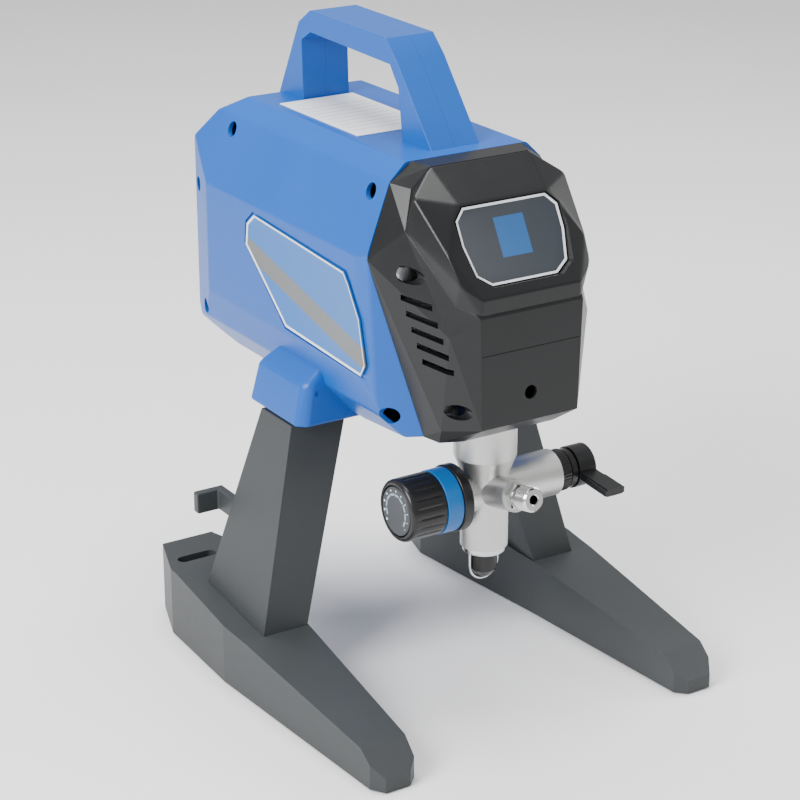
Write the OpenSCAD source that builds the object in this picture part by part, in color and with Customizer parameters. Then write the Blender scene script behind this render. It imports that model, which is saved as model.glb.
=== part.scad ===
// Airless paint sprayer: a motor, gear train, crank and piston pump in a clamshell on two legs.
// Z is up, the pump faces -Y, and X = 0 is the plane where the two housing halves meet.

/* [Housing] */
// Width over the ridges of the two housing halves
body_w = 148; // [144:1:180]
// Height of the roof at its front end
roof_z = 362; // [359:1:420]
// Height of the underside of the housing
belly_z = 181; // [174:1:184]
// Distance of the rear face from the origin
rear_y = 186; // [170:1:230]
// Thickness of the moulded walls
wall = 3; // [2:0.5:4]

/* [Handle] */
// Width of the carrying handle
handle_w = 36; // [28:1:46]
// Height of the grip above the roof
handle_h = 62; // [50:1:76]
// Depth of the grip bar
grip_t = 15; // [11:1:19]

/* [Front cover] */
// Distance from the origin to the upper seam, towards the pump
seam_y = 80; // [77:1:81]
// Forward lean of the lower part of the seam
seam_lean = 30; // [20:1:34]
// Distance from the origin to the front face
face_y = 153; // [148:1:165]
// Width of the narrow front face
face_w = 72; // [62:1:80]

/* [Stand] */
// Width over the feet
stance_w = 284; // [268:1:340]
// Distance from the origin to the tip of each toe
toe_y = 187; // [170:1:225]
// Distance from the origin to the back of each foot
heel_y = 115; // [110:1:140]
// Height of the heel
heel_h = 50; // [46:1:60]
// Height of the toe where it meets the leg
toe_h = 41; // [34:1:44]
// Height of the rubber pads below each foot
pad_h = 1; // [0.5:0.5:3]

/* [Drive] */
// Height of the crank shaft
crank_z = 262; // [258:1:266]
// Stroke of the pump
stroke = 18; // [10:1:22]
// Module of the motor pinion and the wheel it drives
module_1 = 1.4; // [1.2:0.1:1.5]
// Module of the second pinion and the crank wheel
module_2 = 1.9; // [1.7:0.1:2]
// Number of teeth on both pinions
pinion_teeth = 12; // [12:1:13]
// Number of teeth on both wheels
wheel_teeth = 42; // [36:1:44]
// Radius of the motor can
motor_r = 38; // [32:1:40]
// Radial running clearance of every shaft
running = 0.05; // [0.02:0.01:0.1]

/* [Pump] */
// Distance from the origin to the pump axis, towards the front
pump_y = 104.5; // [103:0.5:107]
// Height of the cross axis through the knob and the valve
cross_z = 144; // [140:1:147]
// Outer radius of the upper cylinder
barrel_r = 20.5; // [18:0.5:23]
// Radius of the cylinder bore
bore_r = 11; // [9:1:12]
// Radius of the piston rod
rod_r = 6; // [5:0.5:7]
// Outer radius of the lower cylinder
lower_r = 15.5; // [15:0.5:18]
// Outer radius of the hose thread
hose_r = 8; // [6.5:0.5:9]
// Upward tilt of the hose fitting
hose_tilt = 12.5; // [0:0.5:20]
// Radius of the suction inlet
inlet_r = 9; // [8:0.5:10]

/* [Controls] */
// Radius of the pressure knob
knob_r = 21; // [18:0.5:25]
// Length of the pressure knob
knob_l = 38; // [34:1:48]
// Radius of the prime valve cap and lever hub
lever_r = 14; // [13:0.5:16]
// Reach of the prime lever from its axis
lever_l = 43; // [36:1:52]

/* [Hidden] */
$fn = 64;
gap = 0.3;
eps = 0.01;

// Housing outlines
half_w = body_w / 2;
ridge_z = roof_z - 58;
brow_y = rear_y - 68;
seam_low_z = belly_z + 12;
cover_gap = 0.3;

// Handle outline
grip_top = roof_z + handle_h;
grip_under = grip_top - grip_t;
handle_front = -seam_y + 10;
handle_rear = brow_y + 3;

// Leg lines: each edge leans outwards and the leg widens towards the floor
leg_top_z = belly_z + 20;
leg_base_z = 40;
leg_out_x = stance_w / 2 - 16.5;
leg_in_x = leg_out_x - 33;
leg_lean_out = 0.246;
leg_lean_in = 0.301;
leg_front_y = -33.5;
leg_front_lean = 0.127;
leg_rear_y = 49;
leg_rear_lean = -0.187;

// Gear train: motor axis, reduction axis and crank axis are parallel to Y
centre_1 = module_1 * (pinion_teeth + wheel_teeth) / 2;
centre_2 = module_2 * (pinion_teeth + wheel_teeth) / 2;
mid_x = 28;
mid_z = crank_z + sqrt(centre_2 * centre_2 - mid_x * mid_x);
motor_z = mid_z - sqrt(centre_1 * centre_1 - mid_x * mid_x);
pressure_angle = 25;
backlash = 0.35;

// Stations along Y, from the pump backwards
yoke_t = 18;
pin_end = -pump_y + yoke_t / 2 + 0.5;
disc_y = pin_end + 1.5;
disc_t = 7;
case_front_y = disc_y + disc_t + 1;
case_t = 9;
wheel_2_y = case_front_y + case_t + 2;
wheel_2_t = 10;
wheel_1_y = wheel_2_y + wheel_2_t + 4;
wheel_1_t = 8;
case_rear_y = wheel_1_y + wheel_1_t + 4;
rear_t = 7;
motor_y = case_rear_y + rear_t;
motor_l = 92;
cap_t = 12;
fan_y = motor_y + motor_l + cap_t + 4;
fan_t = 16;
case_low = crank_z - 50;
case_high = mid_z + 26;
case_x = 50;

// Shaft and bearing sizes
motor_shaft_r = 4;
mid_shaft_r = 5;
crank_shaft_r = 7.5;
crank_rear_r = 5;
ring_w = 4;
ring_t = 6;
pin_r = 4;
crank_throw = stroke / 2;

// Pump heights
barrel_top = crank_z - 46;
barrel_low = cross_z + 25;
lower_end = cross_z - 38;
inlet_end = lower_end - 22;
arm_r = lever_r + 1.5;
arm_l = 52;
knob_side = 16;

// Cross section of the housing, half of it, from the roof to the belly
function section_half() = [
    [0, roof_z], [half_w - 29, roof_z], [half_w - 18, roof_z - 10], [half_w, ridge_z],
    [half_w, belly_z + 44], [half_w - 4, belly_z + 23], [half_w - 24, belly_z], [0, belly_z]
];
// Side outline of the housing, from the upper seam round the back to the lower seam,
// with the front edge pushed forward by open
function side_outline(open) = [
    [-seam_y - open, ridge_z], [-seam_y - open, roof_z], [brow_y, roof_z],
    [brow_y + 22, roof_z - 12], [rear_y - 12, roof_z - 44], [rear_y, ridge_z - 14],
    [rear_y, belly_z + 50], [rear_y - 12, belly_z + 42], [rear_y - 42, belly_z + 6],
    [rear_y - 56, belly_z], [-40, belly_z], [-seam_y - seam_lean - open, seam_low_z]
];
// Plan of the housing, half of it
function plan_half() = [
    [0, -150], [half_w - 9, -150], [half_w, -seam_y + 12], [half_w, rear_y - 52],
    [half_w - 10, rear_y - 24], [half_w - 26, rear_y], [0, rear_y]
];
function both_halves(points) =
    concat(points, [for (i = [len(points) - 1:-1:0]) [-points[i][0], points[i][1]]]);

// A solid bounded by a section, a side outline and a plan, each drawn in by the same inset
module three_view(section, side, plan, inset) {
    intersection() {
        translate([0, 260, 0]) rotate([90, 0, 0]) linear_extrude(520) offset(delta = -inset) polygon(section);
        rotate([90, 0, 90]) translate([0, 0, -100]) linear_extrude(200) offset(delta = -inset) polygon(side);
        linear_extrude(500) offset(delta = -inset) polygon(plan);
    }
}
module housing_form(inset, open) {
    three_view(both_halves(section_half()), side_outline(open), both_halves(plan_half()), inset);
}

// Solid of the carrying handle, with its finger opening
module handle_form() {
    outer = [
        [handle_front, roof_z - 2], [handle_front + 44, grip_top - 10], [handle_front + 58, grip_top],
        [handle_rear - 43, grip_top], [handle_rear - 26, grip_top - 12], [handle_rear, roof_z - 2]
    ];
    inner = [
        [handle_front + 37, roof_z - 3], [handle_front + 42, grip_under - 14],
        [handle_front + 54, grip_under], [handle_rear - 42, grip_under],
        [handle_rear - 31, grip_under - 10], [handle_rear - 31, roof_z - 3]
    ];
    span = [
        [-handle_w / 2, 0], [-handle_w / 2, grip_top - 5], [-handle_w / 2 + 5, grip_top],
        [handle_w / 2 - 5, grip_top], [handle_w / 2, grip_top - 5], [handle_w / 2, 0]
    ];
    intersection() {
        rotate([90, 0, 90]) translate([0, 0, -handle_w / 2]) linear_extrude(handle_w)
            difference() { polygon(outer); polygon(inner); }
        translate([0, 260, 0]) rotate([90, 0, 0]) linear_extrude(520) polygon(span);
    }
}

// One leg as a tapered column, grown or shrunk sideways by a margin, for the side where X is positive
function leg_corner(z, out, back) = [
    (out ? leg_out_x - leg_lean_out * (z - leg_base_z) : leg_in_x - leg_lean_in * (z - leg_base_z)),
    (back ? leg_rear_y + leg_rear_lean * (z - leg_base_z) : leg_front_y + leg_front_lean * (z - leg_base_z))
];
module leg_slice(z, grow) {
    a = leg_corner(z, false, false);
    b = leg_corner(z, true, true);
    translate([a[0] - grow, a[1] - grow, z])
        cube([b[0] - a[0] + 2 * grow, b[1] - a[1] + 2 * grow, eps]);
}
module leg_form(low, high, grow) {
    hull() {
        leg_slice(low, grow);
        leg_slice(high - eps, grow);
    }
}

// Socket moulded under each side of the housing, which takes the top of a leg
socket_low = belly_z - 4;
socket_high = belly_z + 24;
socket_in = 41;
tenon_in = 3.2;
function socket_out(z) = leg_corner(z, true, false)[0] + 0.5;
module socket_slice(z, out, front, back) {
    translate([socket_in, front, z]) cube([out - socket_in - 6, back - front, eps]);
    translate([socket_in, front + 6, z]) cube([out - socket_in, back - front - 6, eps]);
}
module socket_form() {
    hull() {
        socket_slice(socket_low, socket_out(socket_low), -25, 41);
        socket_slice(socket_high, socket_out(socket_high), -23, 39);
        socket_slice(socket_high + 12, half_w, -19, 35);
    }
}

// Screw posts that tie the two halves together: [y, z]
post_spots = [
    [60, belly_z + 12], [rear_y - 46, belly_z + 30],
    [rear_y - 34, roof_z - 66], [brow_y - 4, roof_z - 20], [-64, roof_z - 20]
];
post_r = 5.5;
screw_r = 1.8;
head_r = 4.5;
seat_x = 30;

module posts() {
    for (p = post_spots)
        translate([-half_w + 1, p[0], p[1]]) rotate([0, 90, 0]) cylinder(r = post_r + 1.5, h = body_w - 2);
}
module post_holes() {
    for (p = post_spots) {
        translate([-half_w - 5, p[0], p[1]]) rotate([0, 90, 0])
            cylinder(r = head_r + 0.5, h = half_w + 5 - seat_x);
        translate([-seat_x - 1, p[0], p[1]]) rotate([0, 90, 0]) cylinder(r = screw_r + 0.2, h = seat_x + 16);
    }
}

// Both halves together: shell, handle, leg sockets and posts
rating_left = -38;
rating_w = 57;
rating_l = 100;
rating_y = handle_front + 57;
rear_panel_z = belly_z + 68;
module housing_pair() {
    difference() {
        union() {
            difference() {
                union() {
                    housing_form(0, 0);
                    socket_form();
                    mirror([1, 0, 0]) socket_form();
                }
                housing_form(wall, 2 * wall);
                leg_pocket();
                mirror([1, 0, 0]) leg_pocket();
            }
            handle_form();
            intersection() {
                union() {
                    posts();
                    ribs();
                    pump_bosses();
                }
                housing_form(1, 0);
            }
        }
        post_holes();
        pump_boss_holes();
        upper_cover_holes();
        translate([0, -pump_y, belly_z - 20]) cylinder(r = barrel_r + 1.5, h = 60);
        rear_openings();
        fan_slots();
        bolt_holes();
        mirror([1, 0, 0]) bolt_holes();
    }
}
// Ribs inside the shell that carry the gear case, the motor, the circuit board and the upper cover screws
module ribs() {
    for (side = [-1, 1]) {
        translate([side > 0 ? case_x : -half_w, case_rear_y + 1, case_low + 20])
            cube([half_w - case_x, rear_t - 2, 60]);
        translate([side > 0 ? screw_x - 7 : -half_w, -seam_y, screw_z - 7])
            cube([half_w - screw_x + 7, 14, 14]);
        translate([side > 0 ? motor_r : -half_w, motor_y + motor_l - 12, motor_z - 6])
            cube([half_w - motor_r, 6, 12]);
        translate([side > 0 ? board_x : -half_w, board_y - 2, belly_z + 60]) cube([half_w - board_x, 6, 40]);
    }
}
// Bosses that reach from each side wall to the ears of the pump, with a screw in each
boss_at = [case_front_y - 7.5, belly_z + 22];
boss_seat_x = 44;
module pump_bosses() {
    for (side = [-1, 1]) translate([side > 0 ? ear_w / 2 : -half_w, boss_at[0], boss_at[1]])
        rotate([0, 90, 0]) cylinder(r = post_r + 1.5, h = half_w - ear_w / 2);
}
module pump_boss_holes() {
    for (side = [-1, 1]) {
        translate([side > 0 ? boss_seat_x : -half_w, boss_at[0], boss_at[1]])
            rotate([0, 90, 0]) cylinder(r = head_r + 0.5, h = half_w - boss_seat_x);
        translate([side > 0 ? ear_w / 2 - 1 : -half_w, boss_at[0], boss_at[1]])
            rotate([0, 90, 0]) cylinder(r = screw_r + 0.2, h = half_w - ear_w / 2 + 1);
    }
}
module upper_cover_holes() {
    for (side = [-1, 1]) translate([side * screw_x, -seam_y - 1, screw_z])
        rotate([-90, 0, 0]) cylinder(r = screw_r + 0.2, h = 13);
}
module leg_pocket() { leg_form(socket_low - 1, leg_top_z + gap, gap - tenon_in); }
module rear_openings() {
    translate([-switch_w / 2, rear_y - 12, rear_panel_z - switch_h / 2]) cube([switch_w, 24, switch_h]);
    translate([gland_x, rear_y - 14, gland_z]) rotate([-90, 0, 0]) cylinder(r = gland_r, h = 24);
}
module fan_slots() {
    for (side = [-1, 1], i = [0:5])
        translate([side * (half_w - 30) - 20, rear_y - 8 - 6, ridge_z - 30 - i * 9]) cube([40, 24, 4]);
}
bolt_y = 4;
bolt_z = belly_z + 9;
bolt_r = 3;
bolt_head_x = leg_corner(bolt_z, false, false)[0] + tenon_in - 2;
bolt_end_x = socket_out(bolt_z) - 1.5;
module bolt_holes() {
    translate([30, bolt_y, bolt_z]) rotate([0, 90, 0]) cylinder(r = bolt_r + 0.3, h = bolt_end_x - 29.8);
}

switch_w = 30;
switch_h = 22;
gland_x = 34;
gland_z = belly_z + 62;
gland_r = 8;

module housing_left() {
    color("royalblue") intersection() {
        housing_pair();
        translate([-150, -200, 100]) cube([150, 500, 400]);
    }
}
module housing_right() {
    color("royalblue") intersection() {
        housing_pair();
        translate([0, -200, 100]) cube([150, 500, 400]);
    }
}
module long_screw(r, length) {
    cylinder(r = r, h = 3);
    translate([0, 0, 2.9]) cylinder(r = screw_r, h = length);
}
module housing_screws() {
    color("dimgray") {
        for (p = post_spots) translate([-seat_x - 3, p[0], p[1]])
            rotate([0, 90, 0]) long_screw(head_r, seat_x + 12);
        for (side = [-1, 1]) each_side(side) translate([boss_seat_x + 3, boss_at[0], boss_at[1]])
            rotate([0, -90, 0]) long_screw(head_r, boss_seat_x - ear_w / 2 + 8);
    }
}

// Front cover: the same section as the housing at the seam, then drawn in to a narrow front face
module cover_form(inset, open) {
    section = [
        [0, roof_z], [half_w - 33, roof_z], [half_w - 17.5, roof_z - 12], [half_w - 1.5, ridge_z],
        [half_w - 12, belly_z + 62], [half_w - 24, seam_low_z], [0, seam_low_z]
    ];
    side = [
        [-seam_y - cover_gap + open, ridge_z], [-seam_y - cover_gap + open, roof_z], [-seam_y - 14, roof_z],
        [-seam_y - 37, roof_z - 18], [-seam_y - 63, roof_z - 64], [-face_y, roof_z - 71],
        [-face_y, belly_z + 27], [-face_y + 26, seam_low_z],
        [-seam_y - seam_lean - cover_gap + open, seam_low_z]
    ];
    plan = [
        [0, -face_y], [face_w / 2, -face_y], [face_w / 2 + 15.5, -face_y + 13],
        [half_w - 1, -seam_y - 4], [half_w, 0], [0, 0]
    ];
    three_view(both_halves(section), side, both_halves(plan), inset);
}
vent_z = ridge_z - 20;
oil_z = belly_z + 45;
oil_r = 4.5;
// Cover screws: [x, y of the head's seat, z, y where the boss ends]
screw_x = half_w - 13;
screw_z = ridge_z - 4;
cover_screw_spots = [
    [screw_x, -seam_y - 22, screw_z, -seam_y - cover_gap],
    [half_w - 29, -seam_y - 46, belly_z + 37, case_front_y]
];
module cover_screw_posts(r, deep) {
    for (side = [-1, 1], p = cover_screw_spots)
        translate([side * p[0], p[1] - deep, p[2]])
            rotate([-90, 0, 0]) cylinder(r = r, h = p[3] - p[1] + deep);
}
module front_cover() {
    color([0.07, 0.07, 0.08]) difference() {
        union() {
            difference() {
                cover_form(0, 0);
                cover_form(wall, 2 * wall);
            }
            intersection() { cover_form(0.5, cover_gap + seam_lean); cover_screw_posts(7, 14); }
        }
        for (side = [-1, 1], p = cover_screw_spots)
            translate([side * p[0], p[1] - 30, p[2]]) rotate([-90, 0, 0]) {
                cylinder(r = head_r + 0.7, h = 30);
                cylinder(r = screw_r + 0.2, h = 90);
            }
        for (side = [-1, 1], i = [0:4])
            translate([side * (half_w - 14 - 1.5 * i), -seam_y - 38 - 2.5 * i, vent_z - 10 * i])
                rotate([0, 0, side * 30]) cube([30, 30 - 2 * i, 4.5], center = true);
        translate([0, -face_y - 10, oil_z]) rotate([-90, 0, 0]) cylinder(r = oil_r, h = 30);
        translate([0, -pump_y, seam_low_z - 20]) cylinder(r = barrel_r + 1.5, h = 50);
    }
}
module cover_screws() {
    color("dimgray") for (side = [-1, 1], p = cover_screw_spots)
        translate([side * p[0], p[1] - 3, p[2]]) rotate([-90, 0, 0]) long_screw(head_r, p[3] - p[1] + 8);
}

// Badges and plate: thin sheets lying on the shells
badge_t = 1;
module front_badge() {
    lean = atan2(26, 46);
    color("darkslategray") translate([0, -seam_y - 37, roof_z - 18]) rotate([-lean, 0, 0])
        rotate([90, 0, 0]) translate([0, 0, 0.02]) linear_extrude(badge_t)
            polygon(both_halves([[0, -2], [29, -2], [36, -8], [31, -44], [23, -50.5], [0, -50.5]]));
}
module side_badge(side) {
    outline = [
        [59, 117], [69, 109], [71, 94], [19, 51], [-75, 46], [-80, 54], [-73, 83], [-60, 103], [-55, 109]
    ];
    color("cornflowerblue") translate([side > 0 ? half_w : -half_w - badge_t, 0, belly_z])
        rotate([90, 0, 90]) linear_extrude(badge_t) polygon(outline);
}
module side_badge_left() { side_badge(-1); }
module side_badge_right() { side_badge(1); }
module rating_plate() {
    color("white") translate([rating_left, rating_y, roof_z]) cube([rating_w, rating_l, 0.6]);
}

// Legs, feet, toes and cable hooks, drawn for the right and mirrored for the left
module each_side(side) { mirror([side < 0 ? 1 : 0, 0, 0]) children(); }
module leg(side) {
    color("dimgray") each_side(side) difference() {
        union() {
            leg_form(pad_h + 12, socket_low - gap, 0);
            leg_form(socket_low - 1, leg_top_z, -tenon_in);
        }
        bolt_holes();
    }
}
module leg_left() { leg(-1); }
module leg_right() { leg(1); }
module leg_bolts() {
    color("silver") for (side = [-1, 1]) each_side(side)
        translate([bolt_head_x - 3, bolt_y, bolt_z]) rotate([0, 90, 0]) {
            cylinder(r = bolt_r + 2.5, h = 3);
            cylinder(r = bolt_r, h = bolt_end_x - bolt_head_x + 3);
        }
}

foot_out = stance_w / 2;
seam_foot_y = -34.5;
function foot_plan() = [
    [foot_out - 18, heel_y], [foot_out - 4, heel_y - 40], [foot_out, -8], [foot_out - 9, 9 - toe_y],
    [foot_out - 15, -toe_y], [foot_out - 33, -toe_y], [foot_out - 40, 7 - toe_y],
    [foot_out - 50.5, seam_foot_y], [foot_out - 63, heel_y - 22], [foot_out - 57, heel_y]
];
module foot_solid(side_view) {
    intersection() {
        translate([0, 0, pad_h]) linear_extrude(heel_h + 20) polygon(foot_plan());
        rotate([90, 0, 90]) linear_extrude(foot_out + 10) polygon(side_view);
    }
}
slot_r = 4.5;
slot_d = 10;
module foot(side) {
    side_view = [
        [seam_foot_y, 0], [seam_foot_y, toe_h], [seam_foot_y + 16, toe_h + 1],
        [heel_y - 50, heel_h], [heel_y, heel_h], [heel_y, 0]
    ];
    color([0.16, 0.17, 0.18]) each_side(side) difference() {
        foot_solid(side_view);
        leg_form(pad_h + 12, heel_h + 12, gap);
        translate([foot_out - 39, heel_y - 31, heel_h - slot_d]) cylinder(r = slot_r, h = 20);
        translate([foot_out - 19, heel_y - 31, heel_h - slot_d]) cylinder(r = slot_r, h = 20);
        translate([foot_out - 39, heel_y - 31 - slot_r, heel_h - slot_d]) cube([20, 2 * slot_r, 20]);
        pad_pockets(side_spots_foot);
    }
}
module foot_left() { foot(-1); }
module foot_right() { foot(1); }
module toe(side) {
    side_view = [
        [seam_foot_y, 0], [-toe_y, 0], [-toe_y, 10.5], [19 - toe_y, toe_h * 0.62], [seam_foot_y, toe_h]
    ];
    color([0.13, 0.14, 0.15]) each_side(side) difference() {
        foot_solid(side_view);
        leg_form(pad_h + 12, heel_h + 12, gap);
        pad_pockets(side_spots_toe);
    }
}
module toe_left() { toe(-1); }
module toe_right() { toe(1); }
pad_r = 7;
pocket = 2;
side_spots_foot = [[foot_out - 40, heel_y - 14]];
side_spots_toe = [[foot_out - 25, 18 - toe_y]];
module pad_pockets(spots) {
    for (p = spots) translate([p[0], p[1], -1]) cylinder(r = pad_r, h = 1 + pad_h + pocket);
}
module foot_pads() {
    color([0.05, 0.05, 0.05]) for (side = [-1, 1], p = concat(side_spots_foot, side_spots_toe))
        translate([side * p[0], p[1], 0]) cylinder(r = pad_r - 0.1, h = pad_h + pocket);
}

hook_z = 101;
hook_h = 15;
hook_x = leg_out_x - leg_lean_out * (hook_z - leg_base_z) - 9;
hook_l = 32;
hook_out = 22;
module cable_hook(side) {
    root_y = leg_rear_y + leg_rear_lean * (hook_z + hook_h / 2 - leg_base_z);
    color([0.16, 0.17, 0.18]) each_side(side) difference() {
        translate([hook_x, root_y - 3, hook_z - hook_h / 2]) {
            cube([6, hook_l, hook_h]);
            translate([0, hook_l - 6, 0]) cube([hook_out, 6, hook_h]);
        }
        leg_form(40, 150, 0.05);
    }
}
module cable_hook_left() { cable_hook(-1); }
module cable_hook_right() { cable_hook(1); }

// Involute spur gear lying in the XY plane, with one tooth centred on +X
function inv(a) = tan(a) * 180 / PI - a;
function tooth_side(r, teeth, m) =
    let (rb = m * teeth / 2 * cos(pressure_angle))
    90 / teeth - backlash / (m * teeth) * 90 / PI + inv(pressure_angle)
    - (r > rb ? inv(acos(rb / r)) : 0);
function tooth_points(teeth, m) =
    let (rb = m * teeth / 2 * cos(pressure_angle), tip = m * teeth / 2 + m, foot = m * teeth / 2 - 1.15 * m,
        low = max(rb, foot), radii = [for (i = [0:4]) low + (tip - low) * i / 4])
    let (edge = concat([[foot, tooth_side(low, teeth, m)]], [for (r = radii) [r, tooth_side(r, teeth, m)]]))
    concat(
        [for (e = edge) e[0] * [cos(e[1]), -sin(e[1])]],
        [for (i = [len(edge) - 1:-1:0]) edge[i][0] * [cos(edge[i][1]), sin(edge[i][1])]]
    );
module gear(teeth, m, width, turn) {
    points = tooth_points(teeth, m);
    linear_extrude(width) polygon([
        for (k = [0:teeth - 1], p = points)
            let (a = turn + k * 360 / teeth) [p[0] * cos(a) - p[1] * sin(a), p[0] * sin(a) + p[1] * cos(a)]
    ]);
}
// Lays something drawn along +Z so that it runs towards +Y from a station
module along_y(x, y, z) { translate([x, y, z]) rotate([-90, 0, 0]) children(); }
// The same for gears, which keep the angles of their teeth as seen from the front
module gear_at(x, y, z, width) { translate([x, y + width, z]) rotate([90, 0, 0]) children(); }
turn_1 = atan2(mid_z - motor_z, mid_x);
turn_2 = atan2(crank_z - mid_z, -mid_x);

module reduction_gear() {
    color("dimgray") {
        gear_at(mid_x, wheel_1_y, mid_z, wheel_1_t)
            gear(wheel_teeth, module_1, wheel_1_t, turn_1 + 180 + 180 / wheel_teeth);
        gear_at(mid_x, wheel_2_y, mid_z, wheel_2_t + 4) gear(pinion_teeth, module_2, wheel_2_t + 4, turn_2);
        along_y(mid_x, case_front_y + 1.5, mid_z)
            cylinder(r = mid_shaft_r, h = case_rear_y - case_front_y + 3);
    }
}
module crank_gear() {
    color("gray") difference() {
        gear_at(0, wheel_2_y, crank_z, wheel_2_t)
            gear(wheel_teeth, module_2, wheel_2_t, turn_2 + 180 + 180 / wheel_teeth);
        along_y(0, wheel_2_y - 1, crank_z) cylinder(r = crank_shaft_r, h = wheel_2_t + 2);
        for (a = [0:60:300])
            along_y(25 * cos(a), wheel_2_y - 1, crank_z + 25 * sin(a)) cylinder(r = 6, h = wheel_2_t + 2);
    }
}
module crank_shaft() {
    color("silver") {
        along_y(0, disc_y + disc_t - 0.5, crank_z)
            cylinder(r = crank_shaft_r, h = wheel_2_y + wheel_2_t + 1 - disc_y - disc_t);
        along_y(0, wheel_2_y + wheel_2_t, crank_z)
            cylinder(r = crank_rear_r, h = case_rear_y + 5 - wheel_2_y - wheel_2_t);
        along_y(0, disc_y, crank_z) cylinder(r = crank_throw + pin_r + 3, h = disc_t);
        along_y(crank_throw, pin_end, crank_z) cylinder(r = pin_r, h = disc_y - pin_end + 1);
    }
}

// Gear case: two plates with the shaft bearings, held apart by posts
case_posts = [[-44, case_low + 22], [44, case_low + 22], [-38, case_high - 12], [-10, case_high - 6]];
module case_plate(y, t) {
    difference() {
        translate([-case_x, y, case_low]) cube([2 * case_x, t, case_high - case_low]);
        for (p = case_posts) along_y(p[0], y - 1, p[1]) cylinder(r = 2.2, h = t + 2);
    }
}
module gear_case_front() {
    color("lightgray") difference() {
        case_plate(case_front_y, case_t);
        along_y(0, case_front_y - 1, crank_z) cylinder(r = crank_shaft_r + 5, h = case_t + 2);
        along_y(mid_x, case_front_y + 1, mid_z) cylinder(r = mid_shaft_r + ring_w, h = case_t);
        translate([0, -pump_y, case_low - 1])
            cylinder(r = barrel_r + gap, h = barrel_top - case_low + 1 + gap);
        for (side = [-1, 1]) {
            along_y(side * cover_screw_spots[1][0], case_front_y - 1, cover_screw_spots[1][2])
                cylinder(r = screw_r + 0.2, h = case_t + 2);
            along_y(side * ear_screw_x, case_front_y - 1, ear_screw_z) cylinder(r = 2.2, h = case_t + 2);
        }
    }
}
module gear_case_rear() {
    color("lightgray") difference() {
        case_plate(case_rear_y, rear_t);
        along_y(0, case_rear_y - 1, crank_z) cylinder(r = crank_rear_r + ring_w, h = rear_t);
        along_y(mid_x, case_rear_y - 1, mid_z) cylinder(r = mid_shaft_r + ring_w, h = rear_t);
        along_y(0, case_rear_y - 1, motor_z) cylinder(r = motor_shaft_r + ring_w, h = rear_t + 2);
    }
}
module gear_case_posts() {
    color("silver") for (side = [-1, 1]) along_y(side * ear_screw_x, case_front_y - 15, ear_screw_z) {
        cylinder(r = 4, h = 4);
        cylinder(r = 2, h = 22);
    }
    color("silver") for (p = case_posts) {
        along_y(p[0], case_front_y + case_t, p[1]) cylinder(r = 4, h = case_rear_y - case_front_y - case_t);
        along_y(p[0], case_front_y - 2, p[1]) cylinder(r = 2, h = case_rear_y + rear_t - case_front_y + 2);
        along_y(p[0], case_front_y - 4, p[1]) cylinder(r = 4, h = 4);
    }
}
module bearing(x, y, z, inside, outside, width) {
    along_y(x, y, z) difference() {
        cylinder(r = outside, h = width);
        translate([0, 0, -1]) cylinder(r = inside + running, h = width + 2);
    }
}
module bearings() {
    color("lightsteelblue") {
        bearing(0, case_front_y + 1, crank_z, crank_shaft_r, crank_shaft_r + 5, ring_t);
        bearing(0, case_rear_y, crank_z, crank_rear_r, crank_rear_r + ring_w, ring_t);
        bearing(mid_x, case_front_y + 1, mid_z, mid_shaft_r, mid_shaft_r + ring_w, ring_t);
        bearing(mid_x, case_rear_y, mid_z, mid_shaft_r, mid_shaft_r + ring_w, ring_t);
        bearing(0, case_rear_y, motor_z, motor_shaft_r, motor_shaft_r + ring_w, rear_t);
        bearing(0, motor_y + motor_l + 3, motor_z, motor_shaft_r, motor_shaft_r + ring_w, ring_t);
    }
}

// Motor
can_t = 3;
magnet_t = 6;
rotor_r = motor_r - can_t - magnet_t - 1;
module motor_can() {
    color("gray") along_y(0, motor_y, motor_z) difference() {
        cylinder(r = motor_r, h = motor_l);
        translate([0, 0, -1]) cylinder(r = motor_r - can_t, h = motor_l + 2);
    }
}
module motor_magnets() {
    color([0.2, 0.2, 0.2]) for (side = [-1, 1]) along_y(0, motor_y + 12, motor_z) intersection() {
        difference() {
            cylinder(r = motor_r - can_t, h = motor_l - 40);
            translate([0, 0, -1]) cylinder(r = rotor_r + 1, h = motor_l);
        }
        translate([side > 0 ? 8 : -motor_r - 8, -motor_r, -1]) cube([motor_r, 2 * motor_r, motor_l]);
    }
}
module motor_end_cap() {
    color("lightgray") along_y(0, motor_y + motor_l, motor_z) difference() {
        cylinder(r = motor_r, h = cap_t);
        translate([0, 0, 3]) cylinder(r = motor_shaft_r + ring_w, h = cap_t);
        translate([0, 0, -1]) cylinder(r = motor_shaft_r + 1, h = cap_t);
        for (a = [45:90:315]) rotate(a) translate([motor_r - 14, 0, -1]) cylinder(r = 5, h = cap_t + 2);
    }
}
commutator_r = 12;
brush_x = motor_r - can_t - 0.5;
module brush_holders() {
    color("sienna") for (side = [-1, 1])
        translate([side > 0 ? commutator_r + 0.6 : -brush_x, motor_y + motor_l - 18, motor_z - 5])
            cube([brush_x - commutator_r - 0.6, 10, 10]);
}
module armature() {
    color("firebrick") along_y(0, motor_y + 12, motor_z) difference() {
        union() {
            cylinder(r = rotor_r, h = motor_l - 40);
            translate([0, 0, motor_l - 40]) cylinder(r = rotor_r - 7, h = 5);
            translate([0, 0, motor_l - 35]) cylinder(r = commutator_r, h = 18);
        }
        translate([0, 0, -1]) cylinder(r = motor_shaft_r, h = motor_l);
    }
}
module armature_shaft() {
    color("silver") {
        along_y(0, wheel_1_y - 1, motor_z) cylinder(r = motor_shaft_r, h = fan_y + fan_t - wheel_1_y);
        gear_at(0, wheel_1_y - 1, motor_z, wheel_1_t + 2) gear(pinion_teeth, module_1, wheel_1_t + 2, turn_1);
    }
}
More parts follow.
